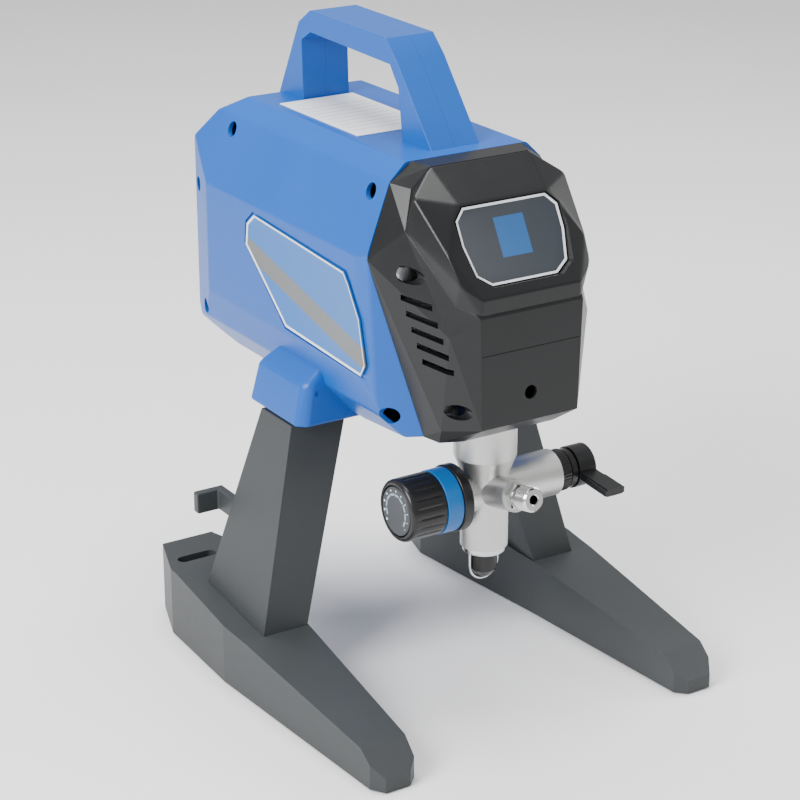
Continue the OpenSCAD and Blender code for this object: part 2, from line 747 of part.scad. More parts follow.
module motor_fan() {
    color("ivory") difference() {
        union() {
            along_y(0, fan_y, motor_z) cylinder(r = motor_r - 2, h = 2);
            along_y(0, fan_y, motor_z) cylinder(r = 9, h = fan_t - 2);
            for (a = [0:30:330]) along_y(0, fan_y + 1, motor_z) rotate(a)
                translate([8, -0.75, 0]) cube([motor_r - 11, 1.5, fan_t - 4]);
        }
        along_y(0, fan_y - 1, motor_z) cylinder(r = motor_shaft_r, h = fan_t + 2);
    }
}

// Piston: yoke, rod, piston head and the packings that the rod runs in
yoke_w = 2 * (crank_throw + pin_r) + 14;
yoke_h = 2 * pin_r + 14;
piston_z = cross_z + 36;
piston_h = 13;
pack_h = 12;
module yoke() {
    color("darkgray") difference() {
        translate([-yoke_w / 2, -pump_y - yoke_t / 2, crank_z - yoke_h / 2]) cube([yoke_w, yoke_t, yoke_h]);
        translate([-yoke_w / 2 + 4, -pump_y - yoke_t / 2 - 1, crank_z - pin_r - 0.3])
            cube([yoke_w - 8, yoke_t + 2, 2 * pin_r + 0.6]);
        translate([0, -pump_y, crank_z - yoke_h / 2 - 1]) cylinder(r = rod_r, h = 5);
    }
}
module piston_rod() {
    color("silver") translate([0, -pump_y, piston_z + piston_h / 2])
        cylinder(r = rod_r, h = crank_z - yoke_h / 2 + 4 - piston_z - piston_h / 2);
}
module piston() {
    color("gold") translate([0, -pump_y, piston_z - piston_h / 2]) difference() {
        cylinder(r = bore_r - running, h = piston_h);
        translate([0, 0, 3]) cylinder(r = upper_ball_r + 0.6, h = piston_h - 4);
        translate([0, 0, -1]) cylinder(r = upper_ball_r - 1.5, h = 5);
    }
}
upper_ball_r = 4;
seat_rise = sqrt(upper_ball_r * upper_ball_r - pow(upper_ball_r - 1.5, 2)) + 0.1;
module upper_ball() {
    color("lightgray") translate([0, -pump_y, piston_z - piston_h / 2 + 3 + seat_rise])
        sphere(r = upper_ball_r);
}
module packings() {
    color("tan") for (i = [0:2])
        translate([0, -pump_y, barrel_top - 3 - pack_h + i * pack_h / 3]) difference() {
            cylinder(r = bore_r, h = pack_h / 3 - 0.2);
            translate([0, 0, -1]) cylinder(r = rod_r + running, h = pack_h);
        }
}

// Pump casting with its arms, boss and mounting plate
boss_l = 36;
thread_l = 20;
module along_hose() { translate([0, -pump_y, cross_z]) rotate([90 - hose_tilt, 0, 0]) children(); }
ear_w = 52;
ear_screw_x = ear_w / 2 - 5;
ear_screw_z = barrel_top + 13;
module pump_casting() {
    color("silver") difference() {
        union() {
            translate([0, -pump_y, barrel_low]) cylinder(r = barrel_r, h = barrel_top - barrel_low);
            translate([0, -pump_y, lower_end]) cylinder(r = lower_r, h = barrel_low - lower_end + 1);
            translate([0, -pump_y, cross_z]) sphere(r = knob_side - 0.1);
            translate([0, -pump_y, cross_z + 12]) cylinder(r1 = lower_r, r2 = barrel_r, h = 13.5);
            from_pump(-knob_side) cylinder(r = arm_r - 2.5, h = knob_side);
            from_pump(0) cylinder(r = arm_r, h = arm_l);
            along_hose() cylinder(r = hose_r + 2.5, h = boss_l);
            translate([-ear_w / 2, case_front_y - 11, barrel_top - 20]) cube([ear_w, 11, 38]);
        }
        translate([0, -pump_y, cross_z + 16]) cylinder(r = bore_r, h = 150);
        translate([0, -pump_y, lower_end + 10]) cylinder(r = 8, h = 50);
        translate([0, -pump_y, lower_end - 1]) cylinder(r = inlet_r - 2, h = 50);
        from_pump(-knob_side - 1) cylinder(r = 5.5, h = knob_side);
        from_pump(2) cylinder(r = 6.5, h = arm_l);
        along_hose() cylinder(r = hose_r - 3, h = boss_l + 1);
        for (side = [-1, 1]) {
            along_y(side * ear_screw_x, case_front_y - 12, ear_screw_z) cylinder(r = 2.2, h = 14);
            each_side(side) translate([ear_w / 2 - 8.5, boss_at[0], boss_at[1]])
                rotate([0, 90, 0]) cylinder(r = screw_r + 0.2, h = 9);
        }
    }
}
module hose_fitting() {
    color("silver") difference() {
        union() {
            along_hose() translate([0, 0, boss_l - 12]) cylinder(r = hose_r - 3, h = 14);
            along_hose() translate([0, 0, boss_l]) cylinder(r = hose_r + 0.8, h = 6, $fn = 6);
            along_hose() translate([0, 0, boss_l + 6]) cylinder(r = hose_r - 1.5, h = 2);
            along_hose() translate([0, 0, boss_l + 8]) cylinder(r = hose_r, h = thread_l - 8);
        }
        along_hose() translate([0, 0, boss_l - 13]) cylinder(r = 3, h = thread_l + 20);
    }
}
inlet_ball_r = 6;
inlet_hole_r = 4;
module inlet_seat() {
    color("lightgray") translate([0, -pump_y, lower_end + 10]) difference() {
        cylinder(r = 8, h = 4);
        translate([0, 0, -1]) cylinder(r = inlet_hole_r, h = 6);
    }
}
module inlet_ball() {
    rise = sqrt(inlet_ball_r * inlet_ball_r - inlet_hole_r * inlet_hole_r) + 0.1;
    color("lightgray") translate([0, -pump_y, lower_end + 14 + rise]) sphere(r = inlet_ball_r);
}
module cylinder_ring() {
    color("gray") translate([0, -pump_y, lower_end - 4]) difference() {
        cylinder(r = lower_r - 1.5, h = 4);
        translate([0, 0, -1]) cylinder(r = inlet_r + 0.2, h = 6);
    }
}
module suction_inlet() {
    color([0.08, 0.08, 0.08]) translate([0, -pump_y, 0]) difference() {
        union() {
            translate([0, 0, inlet_end + 5]) cylinder(r = inlet_r, h = lower_end - inlet_end - 5);
            translate([0, 0, inlet_end]) cylinder(r1 = inlet_r - 4, r2 = inlet_r, h = 5.01);
            translate([0, 0, lower_end - 1]) cylinder(r = inlet_r - 2, h = 9);
        }
        translate([0, 0, inlet_end - 1]) cylinder(r = 4, h = 40);
    }
}
wire_r = 0.9;
module inlet_clip() {
    loop_r = inlet_r + 1.7;
    clip_z = inlet_end + 8;
    color("silver") translate([0, -pump_y, clip_z]) {
        rotate([90, 0, 0]) rotate([0, 0, 180]) rotate_extrude(angle = 180)
            translate([loop_r, 0]) circle(r = wire_r, $fn = 24);
        for (side = [-1, 1]) translate([side * loop_r, 0, 0])
            cylinder(r = wire_r, h = lower_end - 4 - clip_z, $fn = 24);
    }
}

// Pressure regulator on the left arm: nut, flange and spring stay, the knob turns its plunger
module from_pump(x) { translate([x, -pump_y, cross_z]) rotate([0, 90, 0]) children(); }
nut_l = 6;
flange_l = 7;
flange_x = -knob_side - nut_l - flange_l;
knob_x = flange_x - 0.3;
band_l = 12;
spindle_r = 3.5;
module regulator_nut() {
    color("gray") difference() {
        union() {
            from_pump(-knob_side - nut_l) cylinder(r = arm_r - 1.5, h = nut_l);
            from_pump(-knob_side - 0.5) cylinder(r = 5.5, h = 8);
        }
        from_pump(-knob_side - nut_l - 1) cylinder(r = spindle_r + running, h = nut_l + 12);
    }
}
module regulator_flange() {
    color([0.06, 0.06, 0.06]) difference() {
        from_pump(flange_x) cylinder(r = knob_r + 1, h = flange_l);
        from_pump(flange_x - 1) cylinder(r = spindle_r + running, h = flange_l + 2);
    }
}
module regulator_plunger() {
    color("silver") from_pump(knob_x - 4) cylinder(r = spindle_r, h = 4 - knob_x - 9);
}
module regulator_spring() {
    color("darkgray") for (i = [0:3]) from_pump(-7 + i * 2.4)
        rotate_extrude() translate([4, 0]) circle(r = 0.9, $fn = 16);
}
module pressure_knob() {
    color([0.05, 0.05, 0.05]) difference() {
        union() {
            from_pump(knob_x - knob_l) cylinder(r1 = knob_r - 2.5, r2 = knob_r - 0.5, h = 2.01);
            from_pump(knob_x - knob_l + 2) cylinder(r = knob_r - 0.5, h = knob_l - band_l - 2);
            from_pump(knob_x - band_l) cylinder(r = knob_r - 1.5, h = band_l);
        }
        from_pump(knob_x - 8) cylinder(r = spindle_r, h = 10);
        from_pump(knob_x - knob_l - 1) cylinder(r = knob_r - 5, h = 1.8);
        for (a = [0:30:330]) from_pump(knob_x - knob_l + 4) rotate(a)
            translate([knob_r + 0.4, 0, 0]) cylinder(r = 1.4, h = knob_l - band_l - 6, $fn = 16);
    }
}
module knob_band() {
    color("royalblue") from_pump(knob_x - band_l + 0.2) difference() {
        cylinder(r = knob_r, h = band_l - 0.4);
        translate([0, 0, -1]) cylinder(r = knob_r - 1.5, h = band_l + 2);
    }
}
module knob_dial() {
    color([0.15, 0.15, 0.15]) from_pump(knob_x - knob_l - 0.2) cylinder(r = knob_r - 5.1, h = 1);
}

// Prime valve on the right arm
cap_l = 14;
hub_l = 13;
hub_x = arm_l + cap_l + 0.4;
stem_r = 5;
module valve_cap() {
    color([0.06, 0.06, 0.06]) difference() {
        union() {
            from_pump(arm_l) cylinder(r = lever_r, h = cap_l);
            from_pump(arm_l - 10) cylinder(r = 6.5, h = 11);
        }
        from_pump(arm_l - 11) cylinder(r = stem_r + running, h = cap_l + 14);
    }
}
module valve_stem() {
    color("silver") from_pump(12) cylinder(r = stem_r, h = arm_l + cap_l - 12 + 8);
}
blade_t = 5;
module prime_lever() {
    color([0.07, 0.07, 0.07]) difference() {
        union() {
            from_pump(hub_x) cylinder(r = lever_r, h = hub_l);
            translate([hub_x + 0.5, -pump_y, cross_z]) rotate([4, 0, 0]) {
                translate([0, -lever_l, -3]) cube([hub_l - 1, lever_l, blade_t]);
                translate([-1.5, -lever_l, -2.5]) cube([hub_l + 2, lever_l - lever_r - 8, blade_t - 1]);
            }
        }
        from_pump(hub_x - 1) cylinder(r = stem_r, h = 9);
    }
}

// Electrics at the rear
board_y = fan_y + fan_t + 14;
module circuit_board() {
    color("darkgreen") translate([-board_x, board_y, belly_z + 46]) cube([2 * board_x, 1.6, 76]);
    color("dimgray") translate([-22, board_y + 1.6, belly_z + 82]) cube([44, 14, 26]);
    color("black") along_y(26, board_y + 1.6, belly_z + 64) cylinder(r = 9, h = 30);
}
board_x = half_w - wall - 8;
bezel_t = 2;
module switch_bezel() {
    color([0.05, 0.05, 0.05]) difference() {
        union() {
            translate([-switch_w / 2 - 2, rear_y, rear_panel_z - switch_h / 2 - 2])
                cube([switch_w + 4, bezel_t - 1, switch_h + 4]);
            translate([-switch_w / 2, rear_y - 18, rear_panel_z - switch_h / 2])
                cube([switch_w, 18, switch_h]);
        }
        translate([-switch_w / 2 + 3, rear_y - 12, rear_panel_z - switch_h / 2 + 3])
            cube([switch_w - 6, 20, switch_h - 6]);
    }
}
// The rocker rests tilted to its off side and swings through twice rock_tilt about its pivot
rocker_y = rear_y - 4;
rock_tilt = 8;
module rocker_switch() {
    half = switch_h / 2 - 4.6;
    color("red") translate([0, rocker_y - 3, rear_panel_z]) rotate([rock_tilt, 0, 0]) rotate([90, 0, 90])
        translate([0, 0, 3.4 - switch_w / 2]) linear_extrude(switch_w - 6.8)
            polygon([[-0.5, -half], [3.6, -half], [5, 0], [3.6, half], [-0.5, half]]);
}
module cord_gland() {
    color([0.05, 0.05, 0.05]) along_y(gland_x, rear_y - 8, gland_z) difference() {
        union() {
            cylinder(r = gland_r - 0.05, h = 8);
            translate([0, 0, 7.9]) cylinder(r = gland_r - 2, h = 1);
            cylinder(r = gland_r + 2, h = 3);
        }
        translate([0, 0, -1]) cylinder(r = 4, h = 12);
    }
}

housing_left();
housing_right();
housing_screws();
front_cover();
cover_screws();
front_badge();
side_badge_left();
side_badge_right();
rating_plate();
leg_left();
leg_right();
leg_bolts();
foot_left();
foot_right();
toe_left();
toe_right();
cable_hook_left();
cable_hook_right();
foot_pads();
gear_case_front();
gear_case_rear();
gear_case_posts();
bearings();
motor_can();
motor_magnets();
motor_end_cap();
brush_holders();
armature();
armature_shaft();
motor_fan();
reduction_gear();
crank_gear();
crank_shaft();
yoke();
piston_rod();
piston();
packings();
upper_ball();
pump_casting();
inlet_ball();
inlet_seat();
cylinder_ring();
suction_inlet();
inlet_clip();
hose_fitting();
regulator_nut();
regulator_flange();
regulator_plunger();
regulator_spring();
pressure_knob();
knob_band();
knob_dial();
valve_cap();
valve_stem();
prime_lever();
circuit_board();
switch_bezel();
rocker_switch();
cord_gland();
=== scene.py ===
"""Airless paint sprayer: the looks of every piece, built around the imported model."""
from math import cos, pi, radians, sin

import bmesh
import bpy
from mathutils import Matrix, Vector


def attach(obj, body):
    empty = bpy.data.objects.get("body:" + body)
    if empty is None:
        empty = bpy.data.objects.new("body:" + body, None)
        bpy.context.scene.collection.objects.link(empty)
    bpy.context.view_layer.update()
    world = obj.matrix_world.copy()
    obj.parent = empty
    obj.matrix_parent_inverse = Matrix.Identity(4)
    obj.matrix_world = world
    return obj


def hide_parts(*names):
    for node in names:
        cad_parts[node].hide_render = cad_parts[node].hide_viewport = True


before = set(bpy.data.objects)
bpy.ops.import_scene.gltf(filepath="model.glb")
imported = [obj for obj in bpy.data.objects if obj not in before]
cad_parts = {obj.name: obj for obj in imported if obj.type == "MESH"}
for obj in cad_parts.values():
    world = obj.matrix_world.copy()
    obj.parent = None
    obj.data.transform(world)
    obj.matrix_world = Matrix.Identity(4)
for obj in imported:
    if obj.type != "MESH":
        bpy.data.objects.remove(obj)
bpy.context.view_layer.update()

# ---------------------------------------------------------------------------------------------
# Studio: large soft lights from the left, from above and from the right, a long lens that looks
# down on the pump side of the sprayer, and a pale floor.
# ---------------------------------------------------------------------------------------------
MM = 0.001
LENS_RIGHT = Vector((0.84430, -0.53587, 0.0))
LENS_UP = Vector((0.19412, 0.30586, 0.93207))
LENS_BACK = Vector((-0.49947, -0.78695, 0.36226))
LENS_AT = Vector((-0.77481, -1.22372, 0.73388))

camera = bpy.data.objects.new("camera", bpy.data.cameras.new("camera"))
camera.data.lens = 103.5
camera.data.sensor_width = 36
turn = Matrix((LENS_RIGHT, LENS_UP, LENS_BACK)).transposed().to_4x4()
camera.matrix_world = Matrix.Translation(LENS_AT) @ turn
bpy.context.collection.objects.link(camera)
bpy.context.scene.camera = camera

world = bpy.data.worlds.new("studio")
world.use_nodes = True
world.node_tree.nodes["Background"].inputs["Color"].default_value = (1, 1, 1, 1)
world.node_tree.nodes["Background"].inputs["Strength"].default_value = 0.62
bpy.context.scene.world = world


def soft_light(name, at, aim, size, power):
    """A square soft light at one point, facing another."""
    lamp = bpy.data.objects.new(name, bpy.data.lights.new(name, "AREA"))
    lamp.data.size = size
    lamp.data.energy = power
    away = (Vector(at) - Vector(aim)).to_track_quat("Z", "Y").to_matrix().to_4x4()
    lamp.matrix_world = Matrix.Translation(at) @ away
    bpy.context.collection.objects.link(lamp)


soft_light("key", (-1.7, -0.3, 1.3), (0, 0, 0.25), 1.1, 66)
soft_light("top", (0.1, 0.3, 2.2), (0, 0, 0.2), 1.4, 56)
soft_light("rim", (1.6, -0.5, 0.9), (0, -0.1, 0.2), 0.8, 12)


# ---------------------------------------------------------------------------------------------
# Finishes: each one is a procedural shader. Value wraps a socket so that shader maths reads as
# an expression, and Finish.node makes every other node.
# ---------------------------------------------------------------------------------------------
class Value:
    """A shader socket that takes part in arithmetic."""

    def __init__(self, finish, socket):
        self.finish = finish
        self.socket = socket

    def math(self, operation, first, second):
        return self.finish.node("ShaderNodeMath", {"operation": operation}, {0: first, 1: second})

    def __add__(self, other):
        return self.math("ADD", self, other)

    __radd__ = __add__

    def __sub__(self, other):
        return self.math("SUBTRACT", self, other)

    def __rsub__(self, other):
        return self.math("SUBTRACT", other, self)

    def __mul__(self, other):
        return self.math("MULTIPLY", self, other)

    __rmul__ = __mul__

    def __gt__(self, other):
        return self.math("GREATER_THAN", self, other)

    def __lt__(self, other):
        return self.math("LESS_THAN", self, other)


class Finish:
    """A material with one principled shader, and the nodes that vary it."""

    def __init__(self, name, **sockets):
        self.material = bpy.data.materials.new(name)
        self.material.use_nodes = True
        self.tree = self.material.node_tree
        self.shader = self.tree.nodes["Principled BSDF"]
        place = self.node("ShaderNodeTexCoord", {}, {}, "Object")
        self.place = place
        self.set(sockets)

    def node(self, kind, settings, inputs, out=0):
        made = self.tree.nodes.new(kind)
        for key, value in settings.items():
            if key == "stops":
                while len(made.color_ramp.elements) < len(value):
                    made.color_ramp.elements.new(1)
                for element, (position, colour) in zip(made.color_ramp.elements, value):
                    element.position = position
                    element.color = colour
            else:
                setattr(made, key, value)
        for key, value in inputs.items():
            if isinstance(value, Value):
                self.tree.links.new(value.socket, made.inputs[key])
            else:
                made.inputs[key].default_value = value
        return Value(self, made.outputs[out])

    def set(self, sockets):
        for key, value in sockets.items():
            if isinstance(value, Value):
                self.tree.links.new(value.socket, self.shader.inputs[key])
            else:
                self.shader.inputs[key].default_value = value

    def noise(self, scale, detail=2.0, rough=0.5):
        """Noise whose features are about 1 / scale metres across."""
        inputs = {"Vector": self.place, "Scale": scale, "Detail": detail, "Roughness": rough}
        return self.node("ShaderNodeTexNoise", {}, inputs, "Fac")

    def mix(self, mask, first, second):
        """A blend of two colours by a mask."""
        inputs = {"Factor": mask, 6: first, 7: second}
        return self.node("ShaderNodeMix", {"data_type": "RGBA"}, inputs, 2)

    def bump(self, height, depth, strength=1.0):
        """Relief of a given depth in metres."""
        return self.node("ShaderNodeBump", {}, {"Height": height, "Distance": depth, "Strength": strength})

    def axes(self):
        """The three coordinates of a point of the piece."""
        split = self.node("ShaderNodeSeparateXYZ", {}, {0: self.place})
        return [Value(self, socket) for socket in split.socket.node.outputs]


def moulded(name, colour, roughness, grain=900, depth=0.00006, drift=0.08):
    """Injection-moulded plastic: a spark-eroded grain, slow drift of gloss and colour, faint rubs."""
    finish = Finish(name, **{"IOR": 1.48, "Specular IOR Level": 0.34})
    slow = finish.noise(14, 3)
    fine = finish.noise(grain, 2, 0.6)
    rubs = finish.noise(120, 5, 0.7)
    deep = tuple(c * (1 - drift) for c in colour) + (1,)
    light = tuple(min(1, c * (1 + drift) + 0.004) for c in colour) + (1,)
    finish.set({
        "Base Color": finish.mix(slow * 0.7 + fine * 0.3, deep, light),
        "Roughness": (slow - 0.5) * 0.12 + (rubs - 0.5) * 0.08 + roughness,
        "Normal": finish.bump(fine, depth),
    })
    return finish.material


def metal(name, colour, roughness, grain=1400, depth=0.00003, spread=0.1):
    """Bare metal: a fine grain from blasting or machining, with cloudy gloss."""
    finish = Finish(name, Metallic=1.0)
    cloud = finish.noise(60, 4, 0.6)
    fine = finish.noise(grain, 2, 0.6)
    dark = tuple(c * 0.86 for c in colour) + (1,)
    finish.set({
        "Base Color": finish.mix(cloud, dark, tuple(colour) + (1,)),
        "Roughness": (cloud - 0.5) * spread + (fine - 0.5) * spread + roughness,
        "Normal": finish.bump(fine, depth),
    })
    return finish.material


def floor_finish():
    finish = Finish("floor_paint")
    cloud = finish.noise(3, 3)
    finish.set({
        "Base Color": finish.mix(cloud, (0.86, 0.86, 0.87, 1), (0.9, 0.9, 0.9, 1)),
        "Roughness": cloud * 0.1 + 0.6,
    })
    return finish.material


bm = bmesh.new()
bmesh.ops.create_grid(bm, x_segments=2, y_segments=2, size=4)
floor_mesh = bpy.data.meshes.new("floor")
bm.to_mesh(floor_mesh)
bm.free()
floor_mesh.materials.append(floor_finish())
floor = bpy.data.objects.new("floor", floor_mesh)
bpy.context.collection.objects.link(floor)


# ---------------------------------------------------------------------------------------------
# Housing: two glass-filled nylon mouldings that meet at X = 0, each with half of the carrying
# handle and a socket for a leg. They are screwed together from the left side.
# ---------------------------------------------------------------------------------------------
BODY_HALF = 74
ROOF = 362
RIDGE = 304
BELLY = 181
REAR = 186
SEAM = 80
WALL = 3
SECTION = [(45, ROOF), (56.5, 351), (BODY_HALF, RIDGE), (BODY_HALF, 226), (70, 204), (50, BELLY)]
PROFILE = [(118, ROOF), (140, 350), (172, 318), (REAR, 288), (REAR, 240), (170, 213), (144, 188),
           (130, BELLY), (-40, BELLY), (-112, 193)]
PLAN = [(65, -150), (BODY_HALF, -68), (BODY_HALF, 128), (64, 162), (48, REAR)]
FACET = Vector((0.698, -0.714, 0.05))
SHARP = radians(32)


def box(low, high):
    """A closed box between two corners, in millimetres."""
    bm = bmesh.new()
    bmesh.ops.create_cube(bm, size=1)
    low, high = Vector(low) * MM, Vector(high) * MM
    for vert in bm.verts:
        vert.co = Vector(low[i] if vert.co[i] < 0 else high[i] for i in range(3))
    return bm


def cut(bm, point, normal):
    """Cuts away what lies beyond a plane, and closes the cut."""
    everything = bm.verts[:] + bm.edges[:] + bm.faces[:]
    made = bmesh.ops.bisect_plane(bm, geom=everything, plane_co=point, plane_no=normal, clear_outer=True)
    rim = [part for part in made["geom_cut"] if isinstance(part, bmesh.types.BMEdge)]
    if rim:
        bmesh.ops.holes_fill(bm, edges=rim)
    bmesh.ops.recalc_face_normals(bm, faces=bm.faces)


def trim(bm, axis, outline, inset=0.0, centre=(0, 0)):
    """Cuts a solid to a convex outline seen along an axis, drawn in by an inset."""
    across = [i for i in range(3) if i != axis]
    for first, second in zip(outline, outline[1:]):
        edge = Vector(second) - Vector(first)
        normal = Vector((edge.y, -edge.x)).normalized()
        if normal.dot(Vector(first) - Vector(centre)) < 0:
            normal = -normal
        point, away = Vector((0, 0, 0)), Vector((0, 0, 0))
        for i, spot, part in zip(across, Vector(first) - normal * inset, normal):
            point[i] = spot * MM
            away[i] = part
        cut(bm, point, away)


def rounded(bm, width, segments=3, angle=8, keep=None):
    """Rounds the edges where two faces meet at more than an angle."""
    bm.normal_update()
    edges = [e for e in bm.edges if e.is_manifold and e.calc_face_angle(0) > radians(angle)]
    if keep:
        edges = [e for e in edges if keep((e.verts[0].co + e.verts[1].co) / 2 / MM)]
    bmesh.ops.bevel(bm, geom=edges, offset=width * MM, offset_type="OFFSET", segments=segments, profile=0.5,
                    affect="EDGES", clamp_overlap=True, material=-1)


def prism(axis, outline, low, high):
    """An outline, seen along an axis, extruded between two stations."""
    bm = bmesh.new()
    across = [i for i in range(3) if i != axis]
    corners = []
    for spot in outline:
        corner = Vector((0, 0, 0))
        corner[axis] = low
        corner[across[0]], corner[across[1]] = spot
        corners.append(bm.verts.new(corner * MM))
    face = bm.faces.new(corners)
    made = bmesh.ops.extrude_face_region(bm, geom=[face])
    shift = Vector((0, 0, 0))
    shift[axis] = (high - low) * MM
    moved = [part for part in made["geom"] if isinstance(part, bmesh.types.BMVert)]
    bmesh.ops.translate(bm, vec=shift, verts=moved)
    bmesh.ops.recalc_face_normals(bm, faces=bm.faces)
    return bm


def hull(points):
    """The closed solid with these corners, in millimetres."""
    bm = bmesh.new()
    verts = [bm.verts.new(Vector(p) * MM) for p in points]
    made = bmesh.ops.convex_hull(bm, input=verts)
    spare = [part for part in made["geom_interior"] if isinstance(part, bmesh.types.BMVert)]
    bmesh.ops.delete(bm, geom=spare, context="VERTS")
    bmesh.ops.dissolve_limit(bm, angle_limit=radians(2.5), verts=bm.verts, edges=bm.edges)
    bmesh.ops.recalc_face_normals(bm, faces=bm.faces)
    return bm


def mirrored(bm):
    """The same solid on the other side of X = 0."""
    bmesh.ops.scale(bm, vec=(-1, 1, 1), verts=bm.verts)
    bmesh.ops.reverse_faces(bm, faces=bm.faces)
    return bm


def thing(name, bm):
    """An object that holds a finished bmesh."""
    mesh = bpy.data.meshes.new(name)
    bm.to_mesh(mesh)
    bm.free()
    made = bpy.data.objects.new(name, mesh)
    bpy.context.collection.objects.link(made)
    return made


def join(piece, bm, operation="DIFFERENCE"):
    """Adds a solid to a piece, or cuts it out of the piece."""
    tool = thing("tool", bm)
    step = piece.modifiers.new("join", "BOOLEAN")
    step.object = tool
    step.operation = operation
    step.solver = "MANIFOLD"
    bpy.context.view_layer.update()
    mesh = bpy.data.meshes.new_from_object(piece.evaluated_get(bpy.context.evaluated_depsgraph_get()))
    piece.modifiers.clear()
    old = piece.data
    piece.data = mesh
    bpy.data.meshes.remove(old)
    bpy.data.objects.remove(tool)


def finished(piece, material, body, slot, *nodes, flat=True):
    """Gives a piece its shading, material and body, and hides the nodes that it stands for. The slot is not
    used.
    """
    bm = bmesh.new()
    bm.from_mesh(piece.data)
    bm.normal_update()
    piece.data.materials.clear()
    materials = material if isinstance(material, list) else [material]
    for face in bm.faces:
        face.smooth = True
        face.material_index = min(face.material_index, len(materials) - 1)
    for edge in bm.edges:
        edge.smooth = edge.is_manifold and edge.calc_face_angle(0) < SHARP
    bm.to_mesh(piece.data)
    bm.free()
    if flat:
        piece.modifiers.new("weighted", "WEIGHTED_NORMAL").keep_sharp = True
    for extra in materials:
        piece.data.materials.append(extra)
    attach(piece, body)
    if nodes:
        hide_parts(*nodes)
    return piece


def drilled(axis, x, y, z, radius, length, sides=32):
    """A round cutter that starts at a point and runs along an axis, in millimetres."""
    bm = bmesh.new()
    bmesh.ops.create_cone(bm, cap_ends=True, segments=sides, radius1=radius * MM, radius2=radius * MM,
                          depth=abs(length) * MM)
    bmesh.ops.translate(bm, vec=(0, 0, length / 2 * MM), verts=bm.verts)
    spins = (Matrix.Rotation(pi / 2, 4, "Y"), Matrix.Rotation(-pi / 2, 4, "X"), Matrix.Identity(4))
    bmesh.ops.transform(bm, matrix=Matrix.Translation(Vector((x, y, z)) * MM) @ spins[axis], verts=bm.verts)
    return bm


def shell_form(inset):
    """The outside of the housing, or its inside when drawn in, still running on in front."""
    bm = box((-90, -150, 150), (90, 200, ROOF - inset))
    centre = (0, 270)
    trim(bm, 1, SECTION, inset, centre)
    trim(bm, 1, [(-x, z) for x, z in SECTION], inset, centre)
    trim(bm, 1, [(-50, BELLY), (50, BELLY)], inset, centre)
    trim(bm, 0, PROFILE, inset, (0, 270))
    trim(bm, 2, PLAN, inset, (0, 0))
    trim(bm, 2, [(-x, y) for x, y in PLAN], inset, (0, 0))
    for side in (1, -1):
        away = Vector((side * FACET.x, FACET.y, FACET.z))
        cut(bm, (Vector((side * 73.3, -SEAM, RIDGE)) - away * inset) * MM, away)
    cut(bm, Vector((0, (REAR - inset) * MM, 0)), Vector((0, 1, 0)))
    return bm


body_blue = moulded("housing_nylon_blue", (0.003, 0.082, 0.37), 0.34)
body = shell_form(0)
rounded(body, 4.5, 4, 6)
body = thing("housing", body)
AHEAD = [(-200, 420), (-SEAM, 420), (-SEAM, RIDGE), (-110, 193), (-116, 150), (-200, 150)]
join(body, prism(0, AHEAD, -120, 120))

SOCKET = [(41, -25, 177), (85.4, -25.4, 177), (91.6, -20, 177), (91.2, 41.4, 177), (41, 41.4, 177),
          (41, -23, 205), (80.6, -23.4, 205), (85.2, -18.5, 205), (85.2, 38.8, 204.5), (41, 38.8, 205),
          (66, -18, 218), (66, 33, 218)]
for side in (1, -1):
    socket = hull(SOCKET)
    rounded(socket, 2.5, 3)
    join(body, mirrored(socket) if side < 0 else socket, "UNION")
    join(body, drilled(1, side * 77, -27, 199, 1.6, 4))

GRIP = [(-71, 350), (-71, 358), (-27, 411), (-14, 423), (80, 424), (95, 414), (124, 358), (124, 350)]
FINGERS = [(-34.5, 340), (-34, 362), (-29, 394), (-19, 407), (79.5, 409.5), (91.5, 402.5), (90, 362),
           (90, 340)]
GRIP_HALF = 18
grip = thing("grip", prism(0, GRIP, -GRIP_HALF, GRIP_HALF))
join(grip, prism(0, FINGERS, -GRIP_HALF - 5, GRIP_HALF + 5))
grip_mesh = bmesh.new()
grip_mesh.from_mesh(grip.data)
bpy.data.objects.remove(grip)
rounded(grip_mesh, 3.6, 4, 8, lambda at: at.z > 358)
join(body, grip_mesh, "UNION")
join(body, shell_form(WALL))

SCREW_SPOTS = [(60, 193), (140, 211), (152, 296), (114, 342), (-64, 342), (-94, 205)]
for y, z in SCREW_SPOTS:
    join(body, drilled(0, -78, y, z, 5.2, 24))
BADGE = [(59, 298), (69, 290), (71, 275), (19, 232), (-75, 227), (-80, 235), (-73, 264), (-60, 284),
         (-55, 290)]


def grown(outline, by):
    """A convex outline whose corners are pushed outwards."""
    middle = sum((Vector(p) for p in outline), Vector((0, 0))) / len(outline)
    return [tuple(Vector(p) + (Vector(p) - middle).normalized() * by) for p in outline]


for side in (1, -1):
    low, high = (BODY_HALF - 1.2, BODY_HALF + 3) if side > 0 else (-BODY_HALF - 3, -BODY_HALF + 1.2)
    join(body, prism(0, grown(BADGE, 3.5), low, high))
for i in range(6):
    for side in (1, -1):
        slot = prism(2, [(side * 28, 176), (side * 28, 196), (side * 62, 196), (side * 62, 152)], 0, 4)
        bmesh.ops.translate(slot, vec=(0, 0, (274 - 9 * i) * MM), verts=slot.verts)
        bmesh.ops.recalc_face_normals(slot, faces=slot.faces)
        join(body, slot)
join(body, box((-15, 170, 238), (15, 200, 260)))
join(body, drilled(1, 34, 170, 243, 8.2, 30))
join(body, drilled(2, 0, -104.5, 150, 22, 60))
join(body, box((26, -30, 150), (60, 30, 177.5)))

